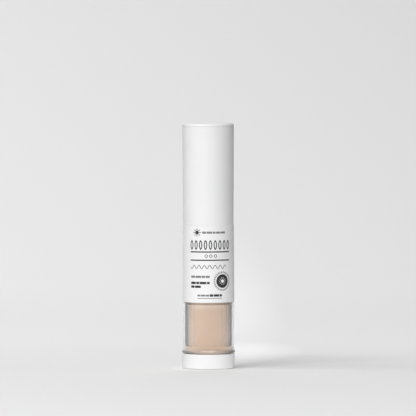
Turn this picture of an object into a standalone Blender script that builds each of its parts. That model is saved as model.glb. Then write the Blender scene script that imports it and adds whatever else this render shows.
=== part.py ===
"""A cap-topped brush that carries its own loose powder in a clear container.

The container stands on its base cap. Above it the labelled sleeve holds the brush, and
turning the sleeve on the container's neck opens or shuts the powder ports between them.
The cap pulls straight up off the brush. Metres, +Z up, the front faces -Y, and the
origin is the centre of the foot.
"""

import math

import bmesh
import bpy

# Fits between pieces
SEAT_GAP = 0.0003  # where one piece rests on or sits in another
RUN_GAP = 0.0003  # where one piece turns or slides on another
LABEL_GAP = 0.0001  # glue line under the label
SNAP_BEAD = 0.00015  # height of the snap beads on the skirt and on the collar
SNAP_BEAD_RUN = 0.0006  # half the length of a snap bead
OVERRUN = 0.0005  # how far a cutter passes the faces that it cuts

# How finely round shapes are turned
OUTER_STEPS = 40
INNER_STEPS = 32
TUBE_STEPS = 16
FILLET_STEPS = 3
FLARE_STEPS = 4
MERGE_DISTANCE = 0.000001
SHARP_ANGLE = math.radians(35)

# Powder jar, the clear inner wall
JAR_RADIUS = 0.0100
JAR_WALL = 0.0013
JAR_FLOOR = 0.0014
JAR_HEIGHT = 0.0448  # foot to shoulder
JAR_SEAT_DEPTH = 0.0018  # how far the jar's foot stands below the base cap's rim
JAR_FILLET = 0.0008
SHOULDER_WIDTH = 0.0016  # from the jar's outer wall in to its neck
NECK_WALL = 0.0012
NECK_HEIGHT = 0.0060
NECK_BEAD = 0.0005
NECK_BEAD_HEIGHT = 0.0008
LUG_HEIGHT = 0.0012
LUG_INSET = 0.0003  # from the jar's outer wall
LUG_ANGLE = math.radians(18)

# Loose powder
POWDER_DEPTH = 0.0293
POWDER_DIP = 0.0008

# Outer shell, the clear outer wall with its foot flange
AIR_GAP = 0.0012  # between the jar and the shell
SHELL_WALL = 0.00105
WINDOW_HEIGHT = 0.0236  # flange to sleeve
LEDGE_HEIGHT = 0.0031  # solid ring round the jar's foot
LEDGE_FILLET_SHARE = 0.25  # of the ledge's width
FLANGE_STEP = 0.0004
FLANGE_HEIGHT = 0.0007
FLARE_HEIGHT = 0.0029
SKIRT_DEPTH = 0.0042

# Base cap
BASE_STEP = 0.0003  # how far it stands out past the shell
BASE_HEIGHT = 0.0071
BASE_WALL = 0.0012
BASE_FLOOR = 0.0014
BASE_SEAM = 0.0005  # shadow gap under the flange
FOOT_FILLET = 0.0007
LIP_FILLET = 0.0003
FOOT_RING = 0.0018
FOOT_RECESS = 0.0004
SUPPORT_INSET = 0.0008  # from the jar's outer wall
SUPPORT_WALL = 0.0011

# Powder ports, the same in the sifter plate, the gasket and the shutter
PORT_COUNT = 3
PORT_INNER = 0.0021
PORT_MARGIN = 0.0004
PORT_ANGLE = math.radians(42)
TWIST_ANGLE = math.radians(60)  # from shut to open
STOP_ANGLE = math.radians(2)  # play left at each end of the turn

# Sifter plate, pressed into the jar's neck
PLATE_THICKNESS = 0.0010
PLATE_PLUG_DEPTH = 0.0022
PLATE_PLUG_WALL = 0.0010

# Valve gasket and shutter disc
GASKET_THICKNESS = 0.0008
SHUTTER_THICKNESS = 0.0012

# Powder funnel
FUNNEL_RIM_HEIGHT = 0.0015
FUNNEL_WALL = 0.0009
CONE_HEIGHT = 0.0036
SPOUT_HEIGHT = 0.0016
SPOUT_WALL = 0.0010
SPOUT_SOCKET_DEPTH = 0.0024

# Feed tube
TUBE_RADIUS = 0.0020
TUBE_WALL = 0.0007
TUBE_LENGTH = 0.0330
TUBE_TIP_FILLET = 0.0009
SLOT_WIDTH = 0.0011
SLOT_HEIGHT = 0.0055

# Sleeve and label
LABEL_STEP = 0.00018  # how far the label stands out past the shell
LABEL_THICKNESS = 0.00015
LABEL_MARGIN = 0.0002
LABEL_SEAM_ANGLE = math.radians(2.5)
SLEEVE_TAPER = 0.0002  # the top is this much smaller in radius
SLEEVE_WALL = 0.0010
SLEEVE_CHAMFER = 0.0001

# Brush collar, pressed into the sleeve
COLLAR_PLUG_DEPTH = 0.0068
COLLAR_PLUG_WALL = 0.0012
COLLAR_HEIGHT = 0.0090
COLLAR_WALL = 0.0008
WEB_THICKNESS = 0.0012
COLLAR_BEAD_DROP = 0.0030  # from the collar's top to the middle of its snap bead

# Ferrule
FERRULE_HEIGHT = 0.0155
FERRULE_WALL = 0.0004
FERRULE_FLOOR = 0.0006
FERRULE_LIP = 0.00025

# Tuft
TUFT_BASE_HEIGHT = 0.0095
BACKING_THICKNESS = 0.0008
STRAND_COUNT = 320
STRAND_RADIUS = 0.00026
STRAND_MARGIN = 0.0001
BRISTLE_LENGTH = 0.0275
DOME_DROP = 0.0040
TUFT_CLEARANCE = 0.0007  # between the tuft's widest point and the cap's liner
TIP_SHARE = 0.45  # a strand's width at its tip, as a share of that at its root
GOLDEN_ANGLE = math.pi * (3 - math.sqrt(5))

# Cap
CAP_STEP = 0.00009  # how far its mouth stands out past the sleeve
CAP_TAPER = 0.00028  # the closed end is this much larger in radius
CAP_WALL = 0.00095
CAP_TOP_WALL = 0.0015
CAP_HEADROOM = 0.0080
CAP_FILLET = 0.0007
LINER_WALL = 0.0008
LINER_HEIGHT = 0.0120
LINER_INSET = 0.0004

# Radii, worked outwards from the jar
jar_bore = JAR_RADIUS - JAR_WALL
neck_radius = JAR_RADIUS - SHOULDER_WIDTH
neck_bore = neck_radius - NECK_WALL
bead_radius = neck_radius + NECK_BEAD
shell_bore = JAR_RADIUS + AIR_GAP
shell_radius = shell_bore + SHELL_WALL
ledge_bore = JAR_RADIUS + SEAT_GAP
ledge_fillet = LEDGE_FILLET_SHARE * (shell_bore - ledge_bore)
flange_radius = shell_radius + FLANGE_STEP
base_radius = shell_radius + BASE_STEP
base_bore = base_radius - BASE_WALL
skirt_radius = base_bore - SEAT_GAP
support_radius = JAR_RADIUS - SUPPORT_INSET
support_bore = support_radius - SUPPORT_WALL
label_radius = shell_radius + LABEL_STEP
sleeve_foot_radius = label_radius - LABEL_THICKNESS - LABEL_GAP
sleeve_top_radius = sleeve_foot_radius - SLEEVE_TAPER
sleeve_bore = sleeve_top_radius - SLEEVE_WALL
plug_radius = sleeve_bore - SEAT_GAP
cap_mouth_radius = sleeve_top_radius + CAP_STEP
cap_top_radius = cap_mouth_radius + CAP_TAPER
cap_bore = cap_mouth_radius - CAP_WALL
liner_radius = cap_bore - SEAT_GAP
liner_bore = liner_radius - LINER_WALL
collar_radius = liner_bore - RUN_GAP
collar_bore = collar_radius - COLLAR_WALL
ferrule_radius = collar_bore - SEAT_GAP
ferrule_bore = ferrule_radius - FERRULE_WALL
tuft_radius = ferrule_bore - SEAT_GAP
tuft_tip_radius = liner_bore - TUFT_CLEARANCE
tube_hole_radius = TUBE_RADIUS + SEAT_GAP
tube_bore = TUBE_RADIUS - TUBE_WALL
spout_radius = tube_hole_radius + SPOUT_WALL
port_outer = neck_bore - SEAT_GAP - PLATE_PLUG_WALL - PORT_MARGIN

# Heights, worked upwards from the foot
base_floor_top = FOOT_RECESS + BASE_FLOOR
jar_foot = BASE_HEIGHT - JAR_SEAT_DEPTH
support_top = jar_foot - SEAT_GAP
flange_foot = BASE_HEIGHT + BASE_SEAM
flange_top = flange_foot + FLANGE_HEIGHT
skirt_foot = flange_foot - SKIRT_DEPTH
ledge_top = flange_foot + LEDGE_HEIGHT
shell_top = flange_foot + WINDOW_HEIGHT
jar_floor_top = jar_foot + JAR_FLOOR
shoulder_top = jar_foot + JAR_HEIGHT
neck_top = shoulder_top + NECK_HEIGHT
bead_foot = neck_top - NECK_BEAD_HEIGHT
powder_foot = jar_floor_top + SEAT_GAP
powder_top = powder_foot + POWDER_DEPTH
plate_foot = neck_top + SEAT_GAP
plate_top = plate_foot + PLATE_THICKNESS
gasket_foot = plate_top + RUN_GAP
gasket_top = gasket_foot + GASKET_THICKNESS
shutter_foot = gasket_top + SEAT_GAP
shutter_top = shutter_foot + SHUTTER_THICKNESS
funnel_foot = shutter_top + SEAT_GAP
funnel_rim_top = funnel_foot + FUNNEL_RIM_HEIGHT
cone_top = funnel_rim_top + CONE_HEIGHT
spout_top = cone_top + SPOUT_HEIGHT
collar_foot = funnel_rim_top + SEAT_GAP
web_foot = spout_top + SEAT_GAP
web_top = web_foot + WEB_THICKNESS
sleeve_foot = shell_top + RUN_GAP
sleeve_top = collar_foot + COLLAR_PLUG_DEPTH
collar_top = sleeve_top + COLLAR_HEIGHT
ferrule_foot = web_top + SEAT_GAP
ferrule_top = ferrule_foot + FERRULE_HEIGHT
tuft_base_foot = ferrule_foot + FERRULE_FLOOR + SEAT_GAP
tuft_base_top = tuft_base_foot + TUFT_BASE_HEIGHT
backing_foot = tuft_base_top + SEAT_GAP
backing_top = backing_foot + BACKING_THICKNESS
bristle_top = backing_top + BRISTLE_LENGTH
tube_foot = spout_top - SPOUT_SOCKET_DEPTH + SEAT_GAP
tube_top = tube_foot + TUBE_LENGTH
cap_foot = sleeve_top + SEAT_GAP
cap_ceiling = bristle_top + CAP_HEADROOM
cap_top = cap_ceiling + CAP_TOP_WALL
coupling_foot = shoulder_top + RUN_GAP
coupling_top = bead_foot - RUN_GAP


def clear_scene():
    for old in list(bpy.data.objects):
        bpy.data.objects.remove(old, do_unlink=True)


def plain_material(name, colour, roughness, metallic=0.0, alpha=1.0):
    material = bpy.data.materials.new(name)
    material.use_nodes = True
    shader = material.node_tree.nodes["Principled BSDF"]
    shader.inputs["Base Color"].default_value = (*colour, 1.0)
    shader.inputs["Roughness"].default_value = roughness
    shader.inputs["Metallic"].default_value = metallic
    shader.inputs["Alpha"].default_value = alpha
    return material


def corner(centre_r, centre_z, radius, start, end):
    """Points of a round corner in the outline's plane, from one angle to another in degrees."""
    angles = [math.radians(start + (end - start) * i / FILLET_STEPS) for i in range(FILLET_STEPS + 1)]
    return [(centre_r + radius * math.cos(a), centre_z + radius * math.sin(a)) for a in angles]


def snap_bead(radius, middle):
    """Points of a low round bead on an outer wall, from its foot up."""
    return [
        (radius, middle - SNAP_BEAD_RUN),
        (radius + SNAP_BEAD, middle),
        (radius, middle + SNAP_BEAD_RUN),
    ]


def add_object(name, bm, material):
    """Makes one named piece of the mesh, smooth but for its real corners."""
    bmesh.ops.recalc_face_normals(bm, faces=bm.faces)
    mesh = bpy.data.meshes.new(name)
    bm.to_mesh(mesh)
    bm.free()
    mesh.shade_smooth()
    mesh.set_sharp_from_angle(angle=SHARP_ANGLE)
    piece = bpy.data.objects.new(name, mesh)
    bpy.context.scene.collection.objects.link(piece)
    if material is not None:
        mesh.materials.append(material)
    return piece


def spin_outline(bm, outline, steps, start=0.0, sweep=2 * math.pi):
    """Spins an outline of (radius, height) points about the vertical axis.

    A ring's outline is closed. One whose ends lie on the axis is left open there, and
    a part turn is closed with a face at each end.
    """
    direction = (math.cos(start), math.sin(start))
    verts = [bm.verts.new((r * direction[0], r * direction[1], z)) for r, z in outline]
    edges = [bm.edges.new(pair) for pair in zip(verts, verts[1:])]
    on_axis = outline[0][0] == 0 and outline[-1][0] == 0
    whole_turn = sweep == 2 * math.pi
    if not on_axis:
        edges.append(bm.edges.new((verts[-1], verts[0])))
    spun = bmesh.ops.spin(
        bm,
        geom=verts + edges,
        cent=(0, 0, 0),
        axis=(0, 0, 1),
        angle=sweep,
        steps=steps,
        use_merge=whole_turn,
    )
    if not whole_turn:
        bm.faces.new(verts)
        bm.faces.new([v for v in spun["geom_last"] if isinstance(v, bmesh.types.BMVert)])
    bmesh.ops.remove_doubles(bm, verts=bm.verts, dist=MERGE_DISTANCE)


def turned(name, outline, material, steps=INNER_STEPS):
    bm = bmesh.new()
    spin_outline(bm, outline, steps)
    return add_object(name, bm, material)


def sector(name, inner, outer, foot, top, middle, sweep):
    """A block between two radii and two heights that spans an angle, to cut with or to join."""
    steps = max(2, round(INNER_STEPS * sweep / (2 * math.pi)))
    bm = bmesh.new()
    outline = [(inner, foot), (outer, foot), (outer, top), (inner, top)]
    spin_outline(bm, outline, steps, middle - sweep / 2, sweep)
    return add_object(name, bm, None)


def helper(piece):
    """Marks a cutter, or a shape that a union has taken up, as no piece of its own."""
    piece.hide_render = True
    piece.display_type = "WIRE"
    return piece


def combine(piece, tool, operation):
    modifier = piece.modifiers.new(tool.name, "BOOLEAN")
    modifier.operation = operation
    modifier.solver = "EXACT"
    modifier.object = helper(tool)


def cut_ports(piece, foot, top, turn):
    for i in range(PORT_COUNT):
        middle = turn + 2 * math.pi * i / PORT_COUNT
        tool = sector(
            f"{piece.name}_port_{i + 1}",
            PORT_INNER,
            port_outer,
            foot - OVERRUN,
            top + OVERRUN,
            middle,
            PORT_ANGLE,
        )
        combine(piece, tool, "DIFFERENCE")


def base_cap(material):
    """The white foot: a cup that snaps over the shell's skirt, with a ring inside that carries the jar."""
    foot_inner = base_radius - FOOT_RING
    outline = [(0, FOOT_RECESS), (foot_inner, FOOT_RECESS), (foot_inner, 0)]
    outline += corner(base_radius - FOOT_FILLET, FOOT_FILLET, FOOT_FILLET, -90, 0)
    outline += corner(base_radius - LIP_FILLET, BASE_HEIGHT - LIP_FILLET, LIP_FILLET, 0, 90)
    outline += [
        (base_bore, BASE_HEIGHT),
        (base_bore, base_floor_top),
        (support_radius, base_floor_top),
        (support_radius, support_top),
        (support_bore, support_top),
        (support_bore, base_floor_top),
        (0, base_floor_top),
    ]
    return turned("base_cap", outline, material, OUTER_STEPS)


def outer_shell(material):
    """The clear outer wall. Its foot flares to a flange, and its skirt plugs into the base cap."""
    flare = []
    for i in range(FLARE_STEPS + 1):
        turn = math.radians(90 * i / FLARE_STEPS)
        flare.append((
            shell_radius + FLANGE_STEP * (1 - math.sin(turn)),
            flange_top + FLARE_HEIGHT * (1 - math.cos(turn)),
        ))
    outline = [(ledge_bore, skirt_foot), (skirt_radius, skirt_foot)]
    outline += snap_bead(skirt_radius, skirt_foot + 2 * SNAP_BEAD_RUN)
    outline += [(skirt_radius, flange_foot), (flange_radius, flange_foot)]
    outline += flare
    outline += [(shell_radius, shell_top), (shell_bore, shell_top)]
    outline += corner(shell_bore - ledge_fillet, ledge_top + ledge_fillet, ledge_fillet, 0, -90)
    outline += [(ledge_bore, ledge_top)]
    return turned("outer_shell", outline, material, OUTER_STEPS)


def powder_jar(material):
    """The clear inner jar: closed foot, straight wall, and a neck with a snap bead and a stop lug."""
    shoulder_foot = shoulder_top - JAR_WALL
    outline = [(0, jar_foot)]
    outline += corner(JAR_RADIUS - JAR_FILLET, jar_foot + JAR_FILLET, JAR_FILLET, -90, 0)
    outline += corner(JAR_RADIUS - JAR_FILLET, shoulder_top - JAR_FILLET, JAR_FILLET, 0, 90)
    outline += [
        (neck_radius, shoulder_top),
        (neck_radius, bead_foot),
        (bead_radius, bead_foot),
        (neck_radius, neck_top),
        (neck_bore, neck_top),
        (neck_bore, shoulder_foot),
        (jar_bore, shoulder_foot - JAR_WALL),
        (jar_bore, jar_floor_top),
        (0, jar_floor_top),
    ]
    jar = turned("powder_jar", outline, material)
    lug = sector(
        "stop_lug",
        neck_radius - NECK_WALL / 2,
        JAR_RADIUS - LUG_INSET,
        shoulder_top - JAR_WALL / 2,
        shoulder_top + LUG_HEIGHT,
        0.0,
        LUG_ANGLE,
    )
    combine(jar, lug, "UNION")
    return jar


def powder_fill(material):
    radius = jar_bore - SEAT_GAP
    outline = [
        (0, powder_foot),
        (radius, powder_foot),
        (radius, powder_top),
        (radius / 2, powder_top - POWDER_DIP / 2),
        (0, powder_top - POWDER_DIP),
    ]
    return turned("powder_fill", outline, material)


def sifter_plate(material):
    """The plate with the fixed ports. Its plug ring is pressed into the jar's neck."""
    plug_outer = neck_bore - SEAT_GAP
    plug_inner = plug_outer - PLATE_PLUG_WALL
    outline = [
        (0, plate_foot),
        (plug_inner, plate_foot),
        (plug_inner, neck_top - PLATE_PLUG_DEPTH),
        (plug_outer, neck_top - PLATE_PLUG_DEPTH),
        (plug_outer, plate_foot),
        (neck_radius, plate_foot),
        (neck_radius, plate_top),
        (0, plate_top),
    ]
    plate = turned("sifter_plate", outline, material)
    cut_ports(plate, plate_foot, plate_top, 0.0)
    return plate


def ported_disc(name, radius, foot, top, material):
    """A disc that turns with the sleeve. Shut, its ports stand one twist away from the fixed ones."""
    outline = [(0, foot), (radius, foot), (radius, top), (0, top)]
    disc = turned(name, outline, material)
    cut_ports(disc, foot, top, TWIST_ANGLE)
    return disc


def coupling_ring(material):
    """Snaps under the neck's bead so that the sleeve can turn but not lift. Its slot takes the stop lug."""
    bore = neck_radius + RUN_GAP
    outline = [
        (bore, coupling_foot),
        (plug_radius, coupling_foot),
        (plug_radius, coupling_top),
        (bore, coupling_top),
    ]
    ring = turned("coupling_ring", outline, material)
    sweep = TWIST_ANGLE + LUG_ANGLE + 2 * STOP_ANGLE
    slot = sector(
        "stop_slot",
        bore - OVERRUN,
        JAR_RADIUS - LUG_INSET + RUN_GAP,
        coupling_foot - OVERRUN,
        shoulder_top + LUG_HEIGHT + RUN_GAP,
        -TWIST_ANGLE / 2,
        sweep,
    )
    combine(ring, slot, "DIFFERENCE")
    return ring


def neck_seal(material):
    """A wiper ring that keeps stray powder from running down between the neck and the sleeve."""
    bore = bead_radius + RUN_GAP
    outline = [
        (bore, coupling_top + SEAT_GAP),
        (plug_radius, coupling_top + SEAT_GAP),
        (plug_radius, shutter_foot - SEAT_GAP),
        (bore, shutter_foot - SEAT_GAP),
    ]
    return turned("neck_seal", outline, material)


def body_sleeve(material):
    """The white tube that carries the label and everything above the neck."""
    outline = [
        (sleeve_bore, sleeve_foot),
        (sleeve_foot_radius - SLEEVE_CHAMFER, sleeve_foot),
        (sleeve_foot_radius, sleeve_foot + SLEEVE_CHAMFER),
        (sleeve_top_radius, sleeve_top - SLEEVE_CHAMFER),
        (sleeve_top_radius - SLEEVE_CHAMFER, sleeve_top),
        (sleeve_bore, sleeve_top),
    ]
    return turned("body_sleeve", outline, material, OUTER_STEPS)


def wrap_label(material):
    """The printed film, wrapped once round the sleeve with its butt seam at the back."""
    foot = sleeve_foot + LABEL_MARGIN
    top = sleeve_top - LABEL_MARGIN
    slope = SLEEVE_TAPER / (sleeve_top - sleeve_foot)
    foot_inner = sleeve_foot_radius - slope * LABEL_MARGIN + LABEL_GAP
    top_inner = sleeve_top_radius + slope * LABEL_MARGIN + LABEL_GAP
    outline = [
        (foot_inner, foot),
        (foot_inner + LABEL_THICKNESS, foot),
        (top_inner + LABEL_THICKNESS, top),
        (top_inner, top),
    ]
    sweep = 2 * math.pi - LABEL_SEAM_ANGLE
    bm = bmesh.new()
    spin_outline(bm, outline, OUTER_STEPS, math.pi / 2 + LABEL_SEAM_ANGLE / 2, sweep)
    return add_object("wrap_label", bm, material)


def powder_funnel(material):
    """Gathers the powder that passes the ports and leads it to the feed tube when the brush is tipped."""
    cone_outer = plug_radius - COLLAR_PLUG_WALL - SEAT_GAP
    cone_inner = cone_outer - FUNNEL_WALL
    socket_foot = spout_top - SPOUT_SOCKET_DEPTH
    outline = [
        (cone_inner, funnel_foot),
        (plug_radius, funnel_foot),
        (plug_radius, funnel_rim_top),
        (cone_outer, funnel_rim_top),
        (spout_radius, cone_top),
        (spout_radius, spout_top),
        (tube_hole_radius, spout_top),
        (tube_hole_radius, socket_foot),
        (tube_bore, socket_foot),
        (tube_bore, cone_top - FUNNEL_WALL - SPOUT_WALL),
        (cone_inner, funnel_rim_top - FUNNEL_WALL),
    ]
    return turned("powder_funnel", outline, material)


def brush_collar(material):
    """Pressed into the sleeve's top: the plug below, the snap collar for the cap above, a web between."""
    plug_inner = plug_radius - COLLAR_PLUG_WALL
    outline = [
        (tube_hole_radius, web_foot),
        (plug_inner, web_foot),
        (plug_inner, collar_foot),
        (plug_radius, collar_foot),
        (plug_radius, sleeve_top),
        (collar_radius, sleeve_top),
    ]
    outline += snap_bead(collar_radius, collar_top - COLLAR_BEAD_DROP)
    outline += [
        (collar_radius, collar_top),
        (collar_bore, collar_top),
        (collar_bore, web_top),
        (tube_hole_radius, web_top),
    ]
    return turned("brush_collar", outline, material)


def ferrule(material):
    """A drawn metal cup round the tuft's root, its rim rolled slightly outwards."""
    outline = [
        (tube_hole_radius, ferrule_foot),
        (ferrule_radius, ferrule_foot),
        (ferrule_radius, ferrule_top - 2 * FERRULE_LIP),
        (ferrule_radius + FERRULE_LIP, ferrule_top - FERRULE_LIP),
        (ferrule_radius, ferrule_top),
        (ferrule_bore, ferrule_top),
        (ferrule_bore, ferrule_foot + FERRULE_FLOOR),
        (tube_hole_radius, ferrule_foot + FERRULE_FLOOR),
    ]
    return turned("ferrule", outline, material)


def tuft_base(material):
    outline = [
        (tube_hole_radius, tuft_base_foot),
        (tuft_radius, tuft_base_foot),
        (tuft_radius, tuft_base_top),
        (tube_hole_radius, tuft_base_top),
    ]
    return turned("tuft_base", outline, material)


def feed_tube(material):
    """Carries powder up through the tuft and lets it out sideways near the closed tip."""
    tip_foot = tube_top - TUBE_TIP_FILLET
    outline = [(0, tube_top)]
    outline += corner(TUBE_RADIUS - TUBE_TIP_FILLET, tip_foot, TUBE_TIP_FILLET, 90, 0)
    outline += [
        (TUBE_RADIUS, tube_foot),
        (tube_bore, tube_foot),
        (tube_bore, tip_foot - TUBE_WALL),
        (0, tip_foot),
    ]
    tube = turned("feed_tube", outline, material, TUBE_STEPS)
    slot_middle = tip_foot - 2 * TUBE_WALL - SLOT_HEIGHT / 2
    reach = 2 * (TUBE_RADIUS + OVERRUN)
    for name, size in (("slot_x", (reach, SLOT_WIDTH)), ("slot_y", (SLOT_WIDTH, reach))):
        bm = bmesh.new()
        bmesh.ops.create_cube(bm, size=1.0)
        bmesh.ops.scale(bm, vec=(*size, SLOT_HEIGHT), verts=bm.verts)
        bmesh.ops.translate(bm, vec=(0, 0, slot_middle), verts=bm.verts)
        combine(tube, add_object(name, bm, None), "DIFFERENCE")
    return tube


def ring_of_points(bm, radius, height, steps):
    turns = [2 * math.pi * i / steps for i in range(steps)]
    return [bm.verts.new((radius * math.cos(t), radius * math.sin(t), height)) for t in turns]


def loop_edges(bm, verts):
    return [bm.edges.new((verts[i - 1], verts[i])) for i in range(len(verts))]


def strand_places():
    """Even places over the ring by the golden angle, as (radius, angle)."""
    innermost = tube_hole_radius + STRAND_RADIUS + STRAND_MARGIN
    outermost = tuft_radius * math.cos(math.pi / INNER_STEPS) - STRAND_RADIUS - STRAND_MARGIN
    places = []
    for i in range(STRAND_COUNT):
        share = (i + 0.5) / STRAND_COUNT
        radius = math.sqrt(innermost**2 + (outermost**2 - innermost**2) * share)
        places.append((radius, i * GOLDEN_ANGLE))
    return places


def three_points(bm, radius, angle, height, width):
    points = []
    for k in range(3):
        turn = angle + 2 * math.pi * k / 3
        x = radius * math.cos(angle) + width * math.cos(turn)
        y = radius * math.sin(angle) + width * math.sin(turn)
        points.append(bm.verts.new((x, y, height)))
    return points


def bristle_tuft(material):
    """Strands on a slice of their backing. Each leans out in proportion to its radius, so none cross."""
    bm = bmesh.new()
    places = strand_places()
    outer_top = ring_of_points(bm, tuft_radius, backing_top, INNER_STEPS)
    inner_top = ring_of_points(bm, tube_hole_radius, backing_top, INNER_STEPS)
    roots = [three_points(bm, r, a, backing_top, STRAND_RADIUS) for r, a in places]
    edges = loop_edges(bm, outer_top) + loop_edges(bm, inner_top)
    for root in roots:
        edges += loop_edges(bm, root)
    bmesh.ops.triangle_fill(bm, use_beauty=True, edges=edges, normal=(0, 0, 1))
    outer_foot = ring_of_points(bm, tuft_radius, backing_foot, INNER_STEPS)
    inner_foot = ring_of_points(bm, tube_hole_radius, backing_foot, INNER_STEPS)
    for first, second in ((outer_top, outer_foot), (outer_foot, inner_foot), (inner_foot, inner_top)):
        for i in range(INNER_STEPS):
            bm.faces.new((first[i - 1], first[i], second[i], second[i - 1]))
    widest = max(r for r, _ in places)
    spread = (tuft_tip_radius - STRAND_RADIUS) / widest
    for (radius, angle), root in zip(places, roots):
        height = bristle_top - DOME_DROP * (radius / widest) ** 2
        tip = three_points(bm, radius * spread, angle, height, STRAND_RADIUS * TIP_SHARE)
        for k in range(3):
            bm.faces.new((root[k - 1], root[k], tip[k], tip[k - 1]))
        bm.faces.new(tip)
    return add_object("bristle_tuft", bm, material)


def cap_shell(material):
    """The long white cap, slightly wider at its closed end."""
    outline = [
        (0, cap_ceiling),
        (cap_bore + CAP_TAPER, cap_ceiling),
        (cap_bore, cap_foot),
        (cap_mouth_radius, cap_foot),
    ]
    outline += corner(cap_top_radius - CAP_FILLET, cap_top - CAP_FILLET, CAP_FILLET, 0, 90)
    outline += [(0, cap_top)]
    return turned("cap_shell", outline, material, OUTER_STEPS)


def cap_liner(material):
    """The ring inside the cap's mouth that grips the collar."""
    foot = cap_foot + LINER_INSET
    top = foot + LINER_HEIGHT
    outline = [
        (liner_bore, foot),
        (liner_radius, foot),
        (liner_radius, top),
        (liner_bore, top),
    ]
    return turned("cap_liner", outline, material)


def build():
    white = plain_material("white_gloss_plastic", (0.86, 0.86, 0.86), 0.35)
    sleeve_white = plain_material("white_sleeve_plastic", (0.84, 0.84, 0.84), 0.4)
    valve_white = plain_material("white_valve_plastic", (0.78, 0.78, 0.77), 0.5)
    film = plain_material("label_film", (0.90, 0.90, 0.90), 0.5)
    clear = plain_material("clear_plastic", (0.93, 0.95, 0.95), 0.05, alpha=0.3)
    beige = plain_material("beige_powder", (0.72, 0.52, 0.40), 0.95)
    silicone = plain_material("grey_silicone", (0.45, 0.46, 0.47), 0.6)
    metal = plain_material("drawn_aluminium", (0.80, 0.80, 0.81), 0.3, metallic=1.0)
    fibre = plain_material("cream_fibre", (0.84, 0.76, 0.66), 0.7)

    base_cap(white)
    outer_shell(clear)
    powder_jar(clear)
    powder_fill(beige)
    sifter_plate(valve_white)

    coupling_ring(valve_white)
    neck_seal(silicone)
    ported_disc("valve_gasket", neck_radius, gasket_foot, gasket_top, silicone)
    ported_disc("shutter_disc", plug_radius, shutter_foot, shutter_top, valve_white)
    powder_funnel(valve_white)
    body_sleeve(sleeve_white)
    wrap_label(film)
    brush_collar(sleeve_white)
    ferrule(metal)
    tuft_base(valve_white)
    feed_tube(valve_white)
    bristle_tuft(fibre)

    cap_shell(white)
    cap_liner(valve_white)


clear_scene()
build()
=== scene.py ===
import math
import random

import bmesh
import bpy
from mathutils import Matrix, Vector, noise


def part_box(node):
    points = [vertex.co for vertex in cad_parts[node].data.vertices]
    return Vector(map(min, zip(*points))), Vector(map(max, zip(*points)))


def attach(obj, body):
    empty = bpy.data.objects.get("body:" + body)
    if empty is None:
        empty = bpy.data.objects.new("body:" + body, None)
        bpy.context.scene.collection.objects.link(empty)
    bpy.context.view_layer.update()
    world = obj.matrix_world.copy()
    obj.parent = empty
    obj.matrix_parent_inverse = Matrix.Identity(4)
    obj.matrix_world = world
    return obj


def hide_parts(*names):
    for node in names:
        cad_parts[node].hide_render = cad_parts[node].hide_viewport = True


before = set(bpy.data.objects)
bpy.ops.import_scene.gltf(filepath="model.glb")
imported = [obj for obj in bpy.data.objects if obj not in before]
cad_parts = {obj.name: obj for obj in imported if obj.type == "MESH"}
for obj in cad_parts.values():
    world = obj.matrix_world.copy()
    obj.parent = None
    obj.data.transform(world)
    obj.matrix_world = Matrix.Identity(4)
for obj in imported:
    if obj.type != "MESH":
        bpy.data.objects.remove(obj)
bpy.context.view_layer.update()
print("frame loaded,", len(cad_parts), "nodes")

mm = 0.001
roundSteps = 160  # faces round a visible turned piece
arcSteps = 5  # faces along a fillet
sharpAngle = math.radians(40)  # edges that turn by more stay crisp
mergeGap = 0.0005 * mm  # points nearer than this become one
longWall = 0.6 * mm  # walls longer than this get a narrow row of faces at each end
wallEnd = 0.03 * mm  # its width; it keeps the shading of the wall straight


# mesh helpers

def nodeSpan(node):
    # outer radius, foot and top of a turned node
    low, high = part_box(node)
    return high.x, low.z, high.z


def softOutline(corners, closed):
    # corners are (radius, height, fillet); each fillet becomes an arc
    arcs = []
    count = len(corners)
    for i, (radius, height, fillet) in enumerate(corners):
        here = Vector((radius, height))
        atEnd = not closed and i in (0, count - 1)
        if fillet == 0 or atEnd:
            arcs.append([here])
            continue
        before = (Vector(corners[i - 1][:2]) - here).normalized()
        after = (Vector(corners[(i + 1) % count][:2]) - here).normalized()
        half = before.angle(after) / 2
        reach = fillet / math.tan(half)
        centre = here + (before + after).normalized() * fillet / math.sin(half)
        first = here + before * reach - centre
        last = here + after * reach - centre
        side = 1 if first.x * last.y - first.y * last.x > 0 else -1
        sweep = side * (math.pi - 2 * half)
        turns = [Matrix.Rotation(sweep * k / arcSteps, 2) for k in range(arcSteps + 1)]
        arcs.append([centre + turn @ first for turn in turns])
    points = []
    for i, arc in enumerate(arcs):
        points += arc
        if i == count - 1 and not closed:
            break
        wall = arcs[(i + 1) % count][0] - arc[-1]
        if wall.length > longWall:
            points.append(arc[-1] + wall.normalized() * wallEnd)
            points.append(arc[-1] + wall - wall.normalized() * wallEnd)
    return points


def bead(radius, middle, step, run, fillet):
    # corners of a bead or a groove on a wall; the run is negative where the wall is drawn downwards
    return (
        (radius, middle - run, fillet),
        (radius + step, middle, fillet),
        (radius, middle + run, fillet),
    )


def addRing(bm, radius, height, steps):
    if radius == 0:
        return [bm.verts.new((0, 0, height))]
    turns = [2 * math.pi * i / steps for i in range(steps)]
    return [bm.verts.new((radius * math.cos(t), radius * math.sin(t), height)) for t in turns]


def joinRings(bm, lower, upper):
    steps = max(len(lower), len(upper))
    for i in range(steps):
        ring = [lower[i % len(lower)], lower[(i + 1) % len(lower)]]
        ring += [upper[(i + 1) % len(upper)], upper[i % len(upper)]]
        bm.faces.new(list(dict.fromkeys(ring)))


def turnOutline(bm, outline, closed, steps=roundSteps):
    rings = [addRing(bm, r, z, steps) for r, z in outline]
    for lower, upper in zip(rings, rings[1:]):
        joinRings(bm, lower, upper)
    if closed:
        joinRings(bm, rings[-1], rings[0])


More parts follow.
